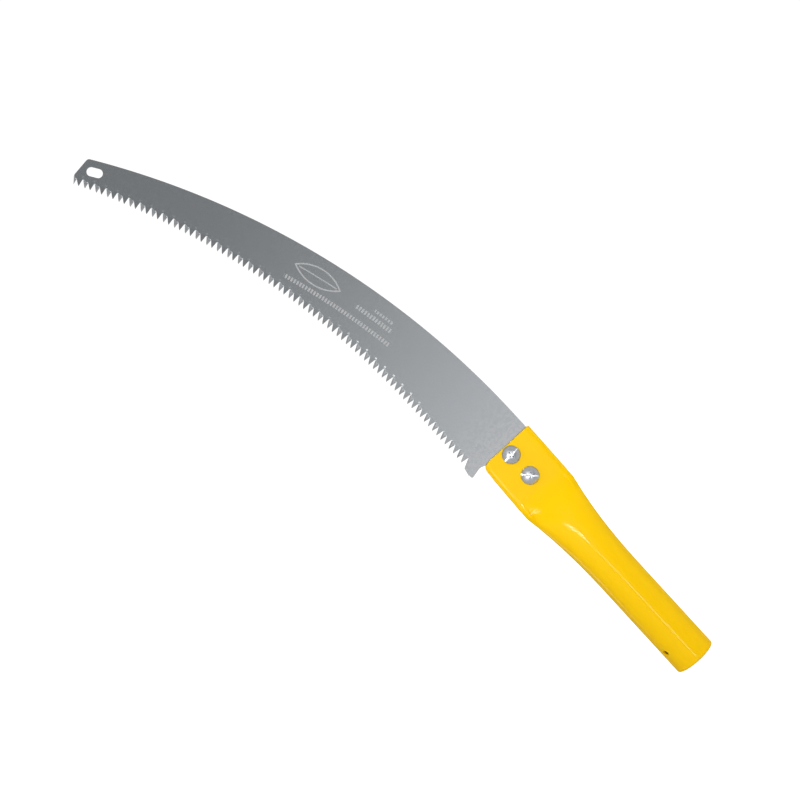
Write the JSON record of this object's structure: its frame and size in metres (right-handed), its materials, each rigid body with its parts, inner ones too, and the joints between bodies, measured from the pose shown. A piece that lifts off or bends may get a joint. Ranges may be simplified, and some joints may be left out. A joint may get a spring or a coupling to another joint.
{
  "type": "pole saw head",
  "caption": "Pole-mounted pruning saw head: a curved pull-cutting blade screwed into the flattened end of a yellow steel tube that is the socket for a pole.",
  "frame": {"origin": "centre of the socket's open end, on the tube's axis", "axes": "+Z along the socket tube towards the blade's tip; the blade lies in the XZ plane with its teeth on -X; -Y is the side of the screw heads and +Y the side of the nuts"},
  "size_m": [0.1152, 0.03, 0.5181],
  "materials": {
    "yellow_paint": "glossy powder coat over steel tube",
    "blade_steel": "satin ground blade steel, brighter ground teeth",
    "zinc_plate": "bright zinc plate"
  },
  "bodies": {
    "root": {"pole_socket": "yellow_paint", "saw_blade": "blade_steel", "upper_screw": "zinc_plate", "lower_screw": "zinc_plate", "upper_spring_washer": "zinc_plate", "lower_spring_washer": "zinc_plate", "upper_nut": "zinc_plate", "lower_nut": "zinc_plate"}
  },
  "joints": []
}
